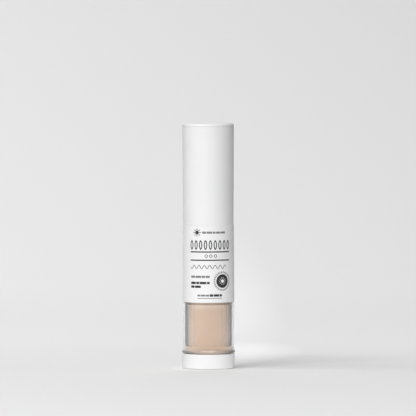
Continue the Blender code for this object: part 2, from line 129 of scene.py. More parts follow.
def addSection(bm, outline, turn):
    # the outline in the half plane at that turn about Z
    return [bm.verts.new((r * math.cos(turn), r * math.sin(turn), z)) for r, z in outline]


def joinSections(bm, sections, closed=False):
    # a solid through the sections, with flat ends unless it closes on itself
    following = sections[1:] + [sections[0]] if closed else sections[1:]
    for one, two in zip(sections, following):
        joinRings(bm, one, two)
    if not closed:
        bm.faces.new(sections[0])
        bm.faces.new(sections[-1])


def addObject(name, data):
    added = bpy.data.objects.new(name, data)
    bpy.context.scene.collection.objects.link(added)
    return added


def addMesh(name, bm, material):
    mesh = bpy.data.meshes.new(name)
    bm.to_mesh(mesh)
    bm.free()
    mesh.shade_smooth()
    mesh.set_sharp_from_angle(angle=sharpAngle)
    mesh.materials.append(material)
    return addObject(name, mesh)


def makePiece(name, bm, material, body, node=None):
    bmesh.ops.remove_doubles(bm, verts=bm.verts, dist=mergeGap)
    bmesh.ops.recalc_face_normals(bm, faces=bm.faces)
    piece = addMesh(name, bm, material)
    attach(piece, body)
    if node:
        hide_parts(node)
    return piece


def keepModified(piece):
    # the piece's modifiers become part of its mesh
    depsgraph = bpy.context.evaluated_depsgraph_get()
    baked = bpy.data.meshes.new_from_object(piece.evaluated_get(depsgraph))
    piece.modifiers.clear()
    piece.data = baked


def turnedPiece(name, corners, closed, material, body, node):
    bm = bmesh.new()
    turnOutline(bm, softOutline(corners, closed), closed)
    return makePiece(name, bm, material, body, node)


# material helpers

class Finish:
    # one Principled material and the nodes that feed it; a look without slants gets its tone later
    def __init__(self, name, look):
        self.material = bpy.data.materials.new(name)
        self.material.use_nodes = True
        self.tree = self.material.node_tree
        self.shader = self.tree.nodes["Principled BSDF"]
        self.feed(self.shader, look["shader"])
        self.place = self.node("TexCoord", {}, "Object")
        self.addRelief(look["relief"])
        if "wear" in look:
            worn = self.ranged(self.grain(*look["wear"]), *look["roughness"])
            self.feed(self.shader, {"Roughness": worn})
        if "slants" in look:
            self.colour(self.ramp(self.facing(), list(zip(look["slants"], look["tones"]))))

    def feed(self, node, inputs):
        # inputs are values or other nodes' outputs, each by its socket's name or number
        for key, value in inputs.items():
            if isinstance(value, bpy.types.NodeSocket):
                self.tree.links.new(value, node.inputs[key])
            else:
                node.inputs[key].default_value = value

    def node(self, kind, inputs, output, **settings):
        node = self.tree.nodes.new("ShaderNode" + kind)
        for key, value in settings.items():
            setattr(node, key, value)
        self.feed(node, inputs)
        return node.outputs[output]

    def axis(self, name):
        return self.node("SeparateXYZ", {"Vector": self.place}, name)

    def facing(self):
        return self.node("LayerWeight", {}, "Facing")

    def ray(self, kind):
        return self.node("LightPath", {}, f"Is {kind} Ray")

    def combined(self, operation, *values):
        return self.node("Math", dict(enumerate(values)), "Value", operation=operation)

    def ranged(self, value, low, high, fromLow=0.3, fromHigh=0.7):
        limits = {"From Min": fromLow, "From Max": fromHigh, "To Min": low, "To Max": high}
        return self.node("MapRange", {"Value": value, **limits}, "Result")

    def grain(self, size, detail=2.0, stretch=(1, 1, 1)):
        # noise with features of about that size, in metres
        place = self.node("Mapping", {"Vector": self.place, "Scale": stretch}, "Vector")
        inputs = {"Vector": place, "Scale": 1 / size, "Detail": detail}
        return self.node("TexNoise", inputs, "Fac")

    def blended(self, factor, *colours):
        # two colours or sockets; a Mix node's colours are its inputs 6 and 7 and its output 2
        first, second = (c if isinstance(c, bpy.types.NodeSocket) else (*c, 1) for c in colours)
        inputs = {"Factor": factor, 6: first, 7: second}
        return self.node("Mix", inputs, 2, data_type="RGBA")

    def ramp(self, value, stops):
        # stops are (place from 0 to 1, colour)
        colour = self.node("ValToRGB", {"Fac": value}, "Color")
        marks = colour.node.color_ramp.elements
        marks[0].position, marks[1].position = stops[0][0], stops[-1][0]
        for position, tone in stops[1:-1]:
            marks.new(position)
        for mark, (position, tone) in zip(marks, stops):
            mark.color = (*tone, 1)
        return colour

    def heightShare(self, low, high):
        # 0 at the height low, 1 at high
        return self.ranged(self.axis("Z"), 0, 1, low, high)

    def colour(self, tone):
        self.feed(self.shader, {"Base Color": tone})

    def addRelief(self, layers):
        normal = {}
        for depth, *grain in layers:
            inputs = {"Strength": 1, "Distance": depth, "Height": self.grain(*grain), **normal}
            normal = {"Normal": self.node("Bump", inputs, "Normal")}
        self.feed(self.shader, normal)

    def letThrough(self, factor, tint):
        # that share of the rays passes the wall
        clear = self.node("BsdfTransparent", {"Color": (*tint, 1)}, "BSDF")
        inputs = {"Fac": factor, 1: self.shader.outputs["BSDF"], 2: clear}
        mixed = self.node("MixShader", inputs, "Shader")
        self.feed(self.tree.nodes["Material Output"], {"Surface": mixed})


# finishes: a grain, such as mottle or wear, is (size of its features, detail, stretch along each
# axis), a layer of relief is (depth, grain), the coarsest first, and slants have a tone each, from
# 0, a wall seen square on, to 1, grazing

along = (1, 1, 0.02)  # the stretch of marks that run up a wall

capWhiteLook = {
    "shader": {"IOR": 1.49, "Specular IOR Level": 0.3},
    "tones": ((0.83, 0.83, 0.832), (0.80, 0.80, 0.803)),
    "mottle": (9 * mm, 3),
    "paintedTopShade": (0.72, 0.72, 0.722),  # painted shade: the closed end and its fillet are coloured duller than the cap's side, to dim the lamps' highlight there
    "paintedTopShadeSpan": (115.2 * mm, 116.0 * mm),
    "roughness": (0.38, 0.46),
    "wear": (1.4 * mm, 4),
    "relief": (
        (0.003 * mm, 2.2 * mm),  # the moulding's slight orange peel
        (0.0008 * mm, 0.5 * mm, 2, along),
        (0.0008 * mm, 0.12 * mm),
    ),
}

baseWhiteLook = dict(
    capWhiteLook,
    tones=((0.78, 0.78, 0.783), (0.755, 0.755, 0.76)),
    paintedTopShade=None,
    roughness=(0.40, 0.48),
)

sleeveWhiteLook = dict(
    capWhiteLook,
    paintedTopShade=None,
    roughness=(0.42, 0.50),
    lampsUnder=(37 * mm, 39 * mm),  # lamps pass the sleeve's foot, so the powder is lit up to it
)

labelFilmLook = {
    "shader": {"IOR": 1.46, "Specular IOR Level": 0.3},
    "tones": ((0.825, 0.825, 0.825), (0.81, 0.81, 0.812)),
    "mottle": (5 * mm, 4),
    "roughness": (0.40, 0.50),
    "wear": (0.8 * mm, 4),
    "relief": ((0.004 * mm, 4 * mm, 2, (1, 1, 0.4)), (0.0006 * mm, 0.1 * mm, 4)),
    "lampsUnder": sleeveWhiteLook["lampsUnder"],
}

valvePlasticLook = {
    "shader": {"IOR": 1.49},
    "tones": ((0.78, 0.78, 0.77), (0.74, 0.74, 0.73)),
    "mottle": (3 * mm,),
    "roughness": (0.45, 0.58),
    "wear": (0.5 * mm, 4),
    "relief": ((0.002 * mm, 0.08 * mm),),
}

siliconeLook = {
    "shader": {"IOR": 1.41, "Sheen Weight": 0.1},
    "tones": ((0.45, 0.46, 0.47), (0.38, 0.39, 0.40)),
    "mottle": (2 * mm,),
    "roughness": (0.55, 0.7),
    "wear": (0.6 * mm,),
    "relief": ((0.003 * mm, 0.15 * mm),),
}

rings = (0.09 * mm, 2, (0.02, 0.02, 1))  # fine rings left by the drawing die

aluminiumLook = {
    "shader": {"Metallic": 1.0},
    "tones": ((0.80, 0.80, 0.81), (0.70, 0.705, 0.72)),
    "mottle": (4 * mm,),
    "roughness": (0.2, 0.38),
    "wear": rings,
    "relief": ((0.0012 * mm, *rings), (0.004 * mm, 2.5 * mm)),
}

inkLook = {
    # printed ink: slightly uneven in tone, a little glossier than the film
    "shader": {"IOR": 1.5},
    "mottle": (0.4 * mm, 4),
    "wear": (0.3 * mm, 3),
    "relief": ((0.0006 * mm, 0.1 * mm),),
}

blackInkLook = dict(inkLook, tones=((0.012,) * 3, (0.0256,) * 3), roughness=(0.35, 0.47))
greyInkLook = dict(inkLook, tones=((0.16,) * 3, (0.218,) * 3), roughness=(0.4, 0.52))
whiteInkLook = dict(inkLook, tones=((0.8,) * 3, (1.05,) * 3), roughness=(0.4, 0.52))


def plainFinish(name, look):
    finish = Finish(name, look)
    tone = finish.blended(finish.grain(*look["mottle"]), *look["tones"])
    # painted shade: a look may colour the cap's closed end darker, to dim the lamps' highlight there
    if look.get("paintedTopShade"):
        tone = finish.blended(finish.heightShare(*look["paintedTopShadeSpan"]), tone, look["paintedTopShade"])
    finish.colour(tone)
    if "lampsUnder" in look:
        # lamps light what is behind the lowest part of the wall
        low, high = look["lampsUnder"]
        below = finish.heightShare(high, low)
        finish.letThrough(finish.combined("MULTIPLY", finish.ray("Shadow"), below), (1, 1, 1))
    return finish.material


tint = (0.97, 0.975, 0.975)  # of the clear walls

clearLook = {
    "shader": {"IOR": 1.50, "Transmission Weight": 1.0, "Base Color": (*tint, 1)},
    "lightTint": (0.975, 0.975, 0.975),  # of the light that passes the wall
    "roughness": (0.015, 0.035),
    "wear": (1.1 * mm, 5),
    "relief": ((0.0015 * mm, 3 * mm, 2, (1, 1, 0.15)),),
}

paintedEdgeShade = (0.06, 0.054, 0.051)  # painted shade: the dark grey that the shell's bore turns where it is seen at a slant, for the dark edges of the clear wall
paintedEdgeShadeSlants = (0.160, 0.200, 0.258, 0.272)
rimShade = (0.30, 0.272, 0.255)  # the shade under the shell's rim

shellBoreLook = {"slants": paintedEdgeShadeSlants, "tones": (tint, paintedEdgeShade, paintedEdgeShade, tint)}
shellRimLook = {"slants": paintedEdgeShadeSlants, "tones": (rimShade, paintedEdgeShade, paintedEdgeShade, rimShade)}
shellFootLook = {
    "slants": (0.42, 0.75),  # from clear to a pale grey that lets little through, at grazing slants
    "tones": (tint, (0.78, 0.77, 0.76)),
    "clearness": 0.15,  # what is left of it at the second slant
    "roughness": (0.05, 0.09),
}
jarLook = {
    "slants": (0.27, 0.46),  # from clear, seen square on, to a dark beige that lets less through, seen aslant towards the jar's sides
    "tones": (tint, (0.585, 0.44, 0.352)),
    "clearness": 0.35,
}


def clearFinish(name, changes=()):
    look = dict(clearLook, **dict(changes))
    finish = Finish(name, look)
    if "clearness" in look:
        clear = finish.ranged(finish.facing(), 1, look["clearness"], *look["slants"])
        finish.feed(finish.shader, {"Transmission Weight": clear})
    # lamps and the studio's own pale surfaces light what is behind the clear wall
    passing = finish.combined("MAXIMUM", finish.ray("Shadow"), finish.ray("Diffuse"))
    finish.letThrough(passing, look["lightTint"])
    return finish.material


ledgeLook = {
    # the powder's colour as the shell's thick foot carries it, paler towards the rim
    "shader": {"Roughness": 0.7, "Diffuse Roughness": 1.0, "Specular IOR Level": 0.1},
    "slants": (0.08, 0.24, 0.29, 0.33),
    "tones": ((0.71, 0.56, 0.455), (0.80, 0.69, 0.59), (0.80, 0.69, 0.59), (0.76, 0.74, 0.72)),
    "relief": ((0.004 * mm, 1.2 * mm, 3),),
}

seamShadeLook = {
    # painted shade: the seam between the shell's foot and the base cap is coloured dark, darker still
    # aslant, for the shade in the gap
    "shader": {"Roughness": 0.4, "Specular IOR Level": 0.3},
    "slants": (0.02, 0.17, 0.40),
    "tones": ((0.50, 0.405, 0.335), (0.39, 0.33, 0.29), (0.26, 0.238, 0.222)),
    "relief": ((0.002 * mm, 0.8 * mm, 3),),
}


powderLook = {
    "shader": {
        "Roughness": 0.95,
        "Diffuse Roughness": 1.0,
        "Specular IOR Level": 0.15,
        "Sheen Weight": 0.3,
        "Sheen Roughness": 0.6,
    },
    "body": (0.68, 0.487, 0.356),
    "pale": (0.705, 0.53, 0.40),
    "drift": (6 * mm, 3, (1, 1, 1.8)),
    "deep": (0.615, 0.43, 0.308),
    "specks": (0.35 * mm, 5),
    "speckSpan": (0.4, 0.75),  # noise values from none to full
    "paintedLightTop": (0.74, 0.595, 0.475),  # painted light: paler just under the sleeve, to lift the shade that the sleeve casts on the powder
    "paintedLightSpan": (27.5 * mm, 30.5 * mm),
    "relief": ((0.12 * mm, 1.6 * mm, 4), (0.05 * mm, 0.18 * mm, 4)),
}


def powderFinish():
    look = powderLook
    finish = Finish("beigePowder", look)
    drift = finish.ranged(finish.grain(*look["drift"]), 0, 1)
    specks = finish.ranged(finish.grain(*look["specks"]), 0, 1, *look["speckSpan"])
    tone = finish.blended(drift, look["body"], look["pale"])
    tone = finish.blended(specks, tone, look["deep"])
    # painted light: the powder is paler just under the sleeve, against the sleeve's shadow
    finish.colour(finish.blended(finish.heightShare(*look["paintedLightSpan"]), tone, look["paintedLightTop"]))
    return finish.material


fibreLook = {
    "shader": {"Roughness": 0.55, "Sheen Weight": 0.25, "Sheen Roughness": 0.4},
    "root": (0.62, 0.50, 0.40),
    "tip": (0.86, 0.79, 0.70),
    "pale": (0.90, 0.85, 0.78),
    "shades": (0.22 * mm, 2, along),
    "relief": ((0.002 * mm, 0.05 * mm, 2, (1, 1, 0.1)),),
}


def fibreFinish(rootHeight, tipHeight):
    # darker towards the root, and each fibre a shade of its own
    look = fibreLook
    finish = Finish("creamFibre", look)
    shade = finish.ranged(finish.grain(*look["shades"]), 0, 1)
    tips = finish.blended(shade, look["tip"], look["pale"])
    finish.colour(finish.blended(finish.heightShare(rootHeight, tipHeight), look["root"], tips))
    return finish.material


capWhite = plainFinish("capWhite", capWhiteLook)
baseWhite = plainFinish("baseWhite", baseWhiteLook)
sleeveWhite = plainFinish("sleeveWhite", sleeveWhiteLook)
labelFilm = plainFinish("labelFilm", labelFilmLook)
shellClear = clearFinish("shellClear")
shellBore = clearFinish("shellBore", shellBoreLook)
shellRim = clearFinish("shellRim", shellRimLook)
shellSeamShade = Finish("shellSeamShade", seamShadeLook).material
shellFoot = clearFinish("shellFoot", shellFootLook)
ledgeTan = Finish("ledgeTan", ledgeLook).material
jarClear = clearFinish("jarClear", jarLook)
beigePowder = powderFinish()
valvePlastic = plainFinish("valvePlastic", valvePlasticLook)
greySilicone = plainFinish("greySilicone", siliconeLook)
aluminium = plainFinish("drawnAluminium", aluminiumLook)
blackInk = plainFinish("blackInk", blackInkLook)
greyInk = plainFinish("greyInk", greyInkLook)
whiteInk = plainFinish("whiteInk", whiteInkLook)
print("finishes made")


# base cap

baseCapSizes = {
    "wall": 1.2 * mm,
    "footRing": 1.8 * mm,
    "recess": 0.4 * mm,
    "floor": 1.4 * mm,
    "footFillet": 0.5 * mm,
    "lipFillet": 0.3 * mm,
    "supportRadius": 9.2 * mm,
    "supportWall": 1.1 * mm,
    "supportDrop": 2.1 * mm,  # below the rim
    "edge": 0.15 * mm,
    "gateRadius": 1.6 * mm,  # the dimple left by the mould's gate
    "gateDepth": 0.2 * mm,
    "gateFillet": 0.1 * mm,
    "gateEdge": 0.05 * mm,
}


def makeBaseCap():
    s = baseCapSizes
    radius, foot, top = nodeSpan("base_cap")
    bore = radius - s["wall"]
    ringInner = radius - s["footRing"]
    recess = foot + s["recess"]
    gate = recess + s["gateDepth"]
    floorTop = recess + s["floor"]
    supportTop = top - s["supportDrop"]
    supportBore = s["supportRadius"] - s["supportWall"]
    edge = s["edge"]
    corners = [
        (0, gate, 0),
        (s["gateRadius"], gate, s["gateFillet"]),
        (s["gateRadius"], recess, s["gateEdge"]),
        (ringInner, recess, edge),
        (ringInner, foot, edge),
        (radius, foot, s["footFillet"]),
        (radius, top, s["lipFillet"]),
        (bore, top, edge),
        (bore, floorTop, edge),
        (s["supportRadius"], floorTop, edge),
        (s["supportRadius"], supportTop, edge),
        (supportBore, supportTop, edge),
        (supportBore, floorTop, edge),
        (0, floorTop, 0),
    ]
    turnedPiece("baseCap", corners, False, baseWhite, "container", "base_cap")


makeBaseCap()
print("base cap made")


# clear container: outer shell, inner jar, powder

shellSizes = {
    "radius": 12.25 * mm,
    "bore": 11.35 * mm,
    "ledgeBore": 10.3 * mm,
    "skirtRadius": 11.05 * mm,
    "flangeFoot": 7.6 * mm,
    "flangeHeight": 0.7 * mm,
    "flareHeight": 2.9 * mm,
    "ledgeTop": 10.7 * mm,
    "ledgeSlope": 3.4 * mm,
    "ledgeFillet": 0.8 * mm,
    "beadHeight": 0.15 * mm,
    "beadRun": 0.6 * mm,
    "beadFillet": 0.4 * mm,
    "edge": 0.12 * mm,
    "flareSteps": 10,
    "rise": 0.6 * mm,  # the rim stands closer to the sleeve than the frame's own
    "rimDepth": 1.12 * mm,
    "seamTop": 8.6 * mm,
    "seamInner": 10.7 * mm,  # faces nearer to the axis belong to the bore
    "boreTilt": 0.1,  # faces of the bore lean less than this
}


def dressShell(shell, rimFoot, flareTop):
    # each zone of the shell has its finish, and the rest of it is clear
    s = shellSizes
    finishes = [shellClear, shellBore, shellFoot, ledgeTan, shellRim, shellSeamShade]
    for material in finishes[1:]:
        shell.data.materials.append(material)
    middle = (s["bore"] + s["radius"]) / 2
    baseTop = nodeSpan("base_cap")[2]
    for face in shell.data.polygons:
        reach, height = math.hypot(*face.center.xy), face.center.z
        finish = shellClear
        # painted shade in the seam above the base cap
        if reach > s["seamInner"] and height < s["seamTop"]:
            finish = shellSeamShade
        elif reach > middle:
            if baseTop < height < flareTop:
                finish = shellFoot
        elif height > rimFoot:
            finish = shellRim
        elif baseTop < height < s["ledgeTop"]:
            finish = ledgeTan
        elif height > s["ledgeTop"] and abs(face.normal.z) < s["boreTilt"]:
            finish = shellBore
        face.material_index = finishes.index(finish)


def makeOuterShell():
    s = shellSizes
    flangeRadius, skirtFoot, shellTop = nodeSpan("outer_shell")
    shellTop += s["rise"]
    rimFoot = shellTop - s["rimDepth"]
    edge = s["edge"]
    beadMiddle = skirtFoot + 2 * s["beadRun"]
    flangeTop = s["flangeFoot"] + s["flangeHeight"]
    flareTop = flangeTop + s["flareHeight"]
    corners = [
        (s["ledgeBore"], skirtFoot, edge),
        (s["skirtRadius"], skirtFoot, edge),
        *bead(s["skirtRadius"], beadMiddle, s["beadHeight"], s["beadRun"], s["beadFillet"]),
        (s["skirtRadius"], s["flangeFoot"], edge),
        (flangeRadius, s["flangeFoot"], edge),
    ]
    step = flangeRadius - s["radius"]
    for i in range(s["flareSteps"] + 1):
        turn = math.pi / 2 * i / s["flareSteps"]
        reach = s["radius"] + step * (1 - math.sin(turn))
        corners.append((reach, flangeTop + s["flareHeight"] * (1 - math.cos(turn)), 0))
    corners += [
        (s["radius"], shellTop, edge),
        (s["bore"], shellTop, edge),
        (s["bore"], rimFoot, 0),
        (s["bore"], s["ledgeTop"], s["ledgeFillet"]),
        (s["ledgeBore"], s["ledgeTop"] - s["ledgeSlope"], s["ledgeFillet"]),
    ]
    shell = turnedPiece(
        "outerShell", corners, True, shellClear, "container", "outer_shell"
    )
    dressShell(shell, rimFoot, flareTop)


jarSizes = {
    "radius": 10.0 * mm,
    "wall": 1.3 * mm,
    "floor": 1.4 * mm,
    "shoulderTop": 50.1 * mm,
    "neckRadius": 8.4 * mm,
    "neckWall": 1.2 * mm,
    "beadHeight": 0.8 * mm,
    "bead": 0.5 * mm,
    "fillet": 0.8 * mm,
    "floorFillet": 0.9 * mm,
    "innerFillet": 0.4 * mm,
    "neckFillet": 0.2 * mm,
    "beadFillet": 0.1 * mm,
    "beadEdge": 0.05 * mm,
    "lugAngle": math.radians(18),
    "lugHeight": 1.2 * mm,
    "lugInset": 0.3 * mm,
    "lugSteps": 8,
}


def addLug(bm):
    # the stop lug on the shoulder, half sunk into the neck and the shoulder
    s = jarSizes
    inner = s["neckRadius"] - s["neckWall"] / 2
    outer = s["radius"] - s["lugInset"]
    foot = s["shoulderTop"] - s["wall"] / 2
    top = s["shoulderTop"] + s["lugHeight"]
    corners = [(inner, foot), (outer, foot), (outer, top), (inner, top)]
    shares = [i / s["lugSteps"] - 0.5 for i in range(s["lugSteps"] + 1)]
    joinSections(bm, [addSection(bm, corners, s["lugAngle"] * share) for share in shares])


def makePowderJar():
    s = jarSizes
    jarFoot, jarTop = nodeSpan("powder_jar")[1:]
    bore = s["radius"] - s["wall"]
    neckBore = s["neckRadius"] - s["neckWall"]
    beadFoot = jarTop - s["beadHeight"]
    shoulderFoot = s["shoulderTop"] - s["wall"]
    corners = [
        (0, jarFoot, 0),
        (s["radius"], jarFoot, s["fillet"]),
        (s["radius"], s["shoulderTop"], s["fillet"]),
        (s["neckRadius"], s["shoulderTop"], s["neckFillet"]),
        (s["neckRadius"], beadFoot, s["beadEdge"]),
        (s["neckRadius"] + s["bead"], beadFoot, s["beadFillet"]),
        (s["neckRadius"], jarTop, s["neckFillet"]),
        (neckBore, jarTop, s["neckFillet"]),
        (neckBore, shoulderFoot, s["innerFillet"]),
        (bore, shoulderFoot - s["wall"], s["innerFillet"]),
        (bore, jarFoot + s["floor"], s["floorFillet"]),
        (0, jarFoot + s["floor"], 0),
    ]
    jar = turnedPiece(
        "powderJar", corners, False, jarClear, "container", "powder_jar"
    )
    lugMesh = bmesh.new()
    addLug(lugMesh)
    lug = makePiece("stopLug", lugMesh, jarClear, "container")
    union = jar.modifiers.new("lug", "BOOLEAN")
    union.operation = "UNION"
    union.solver = "EXACT"
    union.object = lug
    keepModified(jar)
    bpy.data.objects.remove(lug, do_unlink=True)


powderSizes = {
    "clearance": 0.03 * mm,  # to the jar's bore
    "fillet": 0.85 * mm,
    "dip": 0.8 * mm,
    "lumps": (1.7 * mm, 0.6 * mm),  # sizes of the ruffles, coarse and fine
    "fineShare": 0.5,
    "surfaceRuffle": 0.35 * mm,
    "surfaceSink": 0.8,  # how far the ruffled top is sunk, as a share of the ruffle
    "surfaceSlack": 0.01 * mm,
    "wallRuffle": 0.02 * mm,
    "wallShare": 0.9,  # points past this share of the radius are the powder's side
    "topRings": 22,
    "sideRings": 90,
    "seed": 5,
}


def makePowder():
    s = powderSizes
    top = nodeSpan("powder_fill")[2]
    radius = jarSizes["radius"] - jarSizes["wall"] - s["clearance"]
    foot = nodeSpan("powder_jar")[1] + jarSizes["floor"] + s["clearance"]
    corners = [(0, foot, 0), (radius, foot, s["fillet"])]
    # without its last three points, as the side gets rings of its own
    outline = softOutline(corners + [(radius, top, 0)], False)[:-3]
    low = outline[-1][1]
    for i in range(1, s["sideRings"] + 1):
        outline.append(Vector((radius, low + (top - low) * i / s["sideRings"])))
    for i in range(1, s["topRings"] + 1):
        share = 1 - i / s["topRings"]
        outline.append(Vector((radius * share, top - s["dip"] * (1 - share ** 2))))
    outline[-1].x = 0
    bm = bmesh.new()
    turnOutline(bm, outline, False)
    shift = Vector((s["seed"], 0, 0))
    coarse, fine = s["lumps"]
    surface = top - s["dip"] - s["surfaceSlack"]
    for vert in bm.verts:
        outward = Vector((vert.co.x, vert.co.y, 0))
        reach = outward.length
        ripple = noise.noise(vert.co / coarse + shift)
        ripple += s["fineShare"] * noise.noise(vert.co / fine + shift)
        if vert.co.z > surface and reach < radius:
            inside = math.sqrt(1 - reach / radius)
            vert.co.z += s["surfaceRuffle"] * (ripple - s["surfaceSink"]) * inside
        elif reach > radius * s["wallShare"]:
            vert.co -= outward.normalized() * s["wallRuffle"] * (1 + ripple) / 2
    makePiece("loosePowder", bm, beigePowder, "container", "powder_fill")


makeOuterShell()
makePowderJar()
makePowder()
print("clear container and powder made")


# sleeve and label

sleeveFoot, sleeveTop = nodeSpan("body_sleeve")[1:]
filmFoot = nodeSpan("wrap_label")[1]

sleeveSizes = {
    "wall": 1.0 * mm,
    "footRadius": 12.18 * mm,
    "topRadius": 11.98 * mm,
    "edge": 0.12 * mm,
    "footRise": 0.37 * mm,  # over the frame's own sleeve, as is the shell's rim
}


def makeSleeve():
    s = sleeveSizes
    bore = s["topRadius"] - s["wall"]
    corners = [
        (bore, sleeveFoot + s["footRise"], s["edge"]),
        (s["footRadius"], sleeveFoot + s["footRise"], s["edge"]),
        (s["topRadius"], sleeveTop, s["edge"]),
        (bore, sleeveTop, s["edge"]),
    ]
    turnedPiece(
        "bodySleeve", corners, True, sleeveWhite, "brush_head", "body_sleeve"
    )


labelSizes = {
    "footRadius": 12.43 * mm,  # outer face of the film at the sleeve's foot
    "topRadius": 12.23 * mm,
    "thickness": 0.15 * mm,
    "topDrop": 0.02 * mm,  # below the sleeve's top
    "seam": 0.25 * mm,  # gap between the film's two ends, at the back
    "edge": 0.03 * mm,
    "steps": 240,
}


def filmRadius(height):
    share = (height - sleeveFoot) / (sleeveTop - sleeveFoot)
    return labelSizes["footRadius"] + share * (labelSizes["topRadius"] - labelSizes["footRadius"])


def makeLabel():
    s = labelSizes
    foot = filmFoot + sleeveSizes["footRise"]
    top = sleeveTop - s["topDrop"]
    outline = softOutline([
        (filmRadius(foot) - s["thickness"], foot, 0),
        (filmRadius(foot), foot, s["edge"]),
        (filmRadius(top), top, s["edge"]),
        (filmRadius(top) - s["thickness"], top, 0),
    ], True)
    gap = s["seam"] / filmRadius(filmFoot)
    start = math.pi / 2 + gap / 2
    sweep = 2 * math.pi - gap
    bm = bmesh.new()
    turns = [start + sweep * i / s["steps"] for i in range(s["steps"] + 1)]
    joinSections(bm, [addSection(bm, outline, turn) for turn in turns])
    makePiece("labelFilm", bm, labelFilm, "brush_head", "wrap_label")


makeSleeve()
makeLabel()
print("sleeve and label made")


# print on the label: rules, rows of dashes, a leaf border, rings, a wave, a sun and a badge

printSizes = {
    "thickness": 0.015 * mm,
    "sink": 0.005 * mm,
    "pitch": 0.4 * mm,  # longest step along a stroke
    "left": -9.3 * mm,
    "right": 11.3 * mm,
    "ruleHeights": (24.45 * mm, 20.5 * mm),
    "ruleWidth": 0.58 * mm,
}


def filmPoint(across, up, lift):
    # across runs round the film from the front to the right, up from the film's foot
    height = filmFoot + up
    radius = filmRadius(height)
    turn = across / radius
    reach = radius + lift
    return (reach * math.sin(turn), -reach * math.cos(turn), height)


def inkRibbon(bm, first, second, closed=False, lift=0):
    # a closed slab of ink between two edges of equal count, each a list of (across, up)
    low = lift - printSizes["sink"]
    high = lift + printSizes["thickness"]
    sections = []
    for a, b in zip(first, second):
        corners = ((a, low), (b, low), (b, high), (a, high))
        sections.append([bm.verts.new(filmPoint(*p, z)) for p, z in corners])
    joinSections(bm, sections, closed)


def inkBar(bm, left, right, foot, top):
    steps = max(1, math.ceil((right - left) / printSizes["pitch"]))
    places = [left + (right - left) * i / steps for i in range(steps + 1)]
    inkRibbon(bm, [(x, foot) for x in places], [(x, top) for x in places])


def circlePoints(centre, radius, steps=48):
    turns = [2 * math.pi * i / steps for i in range(steps)]
    return [(centre[0] + radius * math.cos(t), centre[1] + radius * math.sin(t)) for t in turns]


def inkDisc(bm, centre, radius, lift=0, steps=24):
    turns = [math.pi * (i + 0.5) / steps for i in range(steps)]
    upper = [(centre[0] - radius * math.cos(t), centre[1] + radius * math.sin(t)) for t in turns]
    lower = [(x, 2 * centre[1] - y) for x, y in upper]
    inkRibbon(bm, lower, upper, lift=lift)


def inkStroke(bm, points, width, lift=0):
    # a line of even width along points
    left, right = [], []
    for i, (x, y) in enumerate(points):
        before = points[max(0, i - 1)]
        after = points[min(len(points) - 1, i + 1)]
        run = Vector((after[0] - before[0], after[1] - before[1])).normalized() * width / 2
        left.append((x - run.y, y + run.x))
        right.append((x + run.y, y - run.x))
    inkRibbon(bm, left, right, lift=lift)


def inkRays(bm, centre, inner, outer, count, width, lift=0):
    for i in range(count):
        turn = 2 * math.pi * i / count
        arm = (math.cos(turn), math.sin(turn))
        ends = [(centre[0] + r * arm[0], centre[1] + r * arm[1]) for r in (inner, outer)]
        inkStroke(bm, ends, width, lift)


def inkDashes(bm, rows):
    for left, foot, height, lengths, gap in rows:
        place = left * mm
        for length in lengths:
            inkBar(bm, place, place + length * mm, foot * mm, foot * mm + height * mm)
            place += length * mm + gap * mm


def leafPoints(centre, halfWidth, halfHeight):
    # an upright leaf, pointed at both ends
    steps, fullness = leafBorder["steps"], leafBorder["fullness"]
    points = []
    for i in range(steps):
        turn = 2 * math.pi * i / steps
        reach = halfWidth * math.sin(turn) * abs(math.sin(turn)) ** fullness
        points.append((centre[0] + reach, centre[1] + halfHeight * math.cos(turn)))
    return points


leafBorder = {
    "count": 9,
    "foot": 25.4 * mm,
    "height": 4.7 * mm,
    "width": 1.7 * mm,
    "stroke": 0.48 * mm,
    "tipStroke": 0.768 * mm,  # at the points
    "fullness": 0.3,  # less is rounder
    "steps": 28,
}
sun = {
    "centre": (-5.6 * mm, 33.7 * mm),
    "radius": 0.95 * mm,
    "rays": (1.2 * mm, 1.9 * mm, 8, 0.42 * mm),  # inner and outer end, count, width
}
badge = {
    "centre": (7.1 * mm, 10.5 * mm),
    "radius": 3.25 * mm,
    "ticks": (3.8 * mm, 4.65 * mm, 30, 0.5 * mm),
    "rays": (1.2 * mm, 1.9 * mm, 10, 0.22 * mm),
    "heart": 0.8 * mm,
    "steps": 40,
}
wave = {
    "left": -9.1 * mm,
    "right": 9.1 * mm,
    "middle": 17.3 * mm,
    "swing": 0.8 * mm,
    "length": 2.6 * mm,
    "width": 0.36 * mm,
    "steps": 150,
}
ringRow = {"places": (-1.0 * mm, 1.2 * mm, 3.4 * mm), "up": 22.5 * mm, "radii": (0.45 * mm, 0.8 * mm)}
underline = (-5.4 * mm, 6.9 * mm, 2.15 * mm, 2.45 * mm)  # left, right, foot, top

# dashes for the lines of words: left end, foot, height, lengths and gap, in mm
blackDashes = (
    (-8.9, 9.1, 1.1, (2.6, 1.5, 3.2, 1.3), 0.3),
    (-8.9, 7.3, 1.1, (1.9, 3.0), 0.3),
    (0.6, 3.15, 1.1, (1.7, 2.6, 1.2), 0.3),
)
greyDashes = (
    (-3.0, 33.2, 0.95, (1.9, 2.7, 1.3, 2.0, 2.6), 0.28),
    (-8.9, 12.1, 1.0, (2.2, 2.9, 1.6, 2.0), 0.28),
    (-5.4, 3.25, 0.85, (1.5, 2.1, 1.6), 0.25),
)


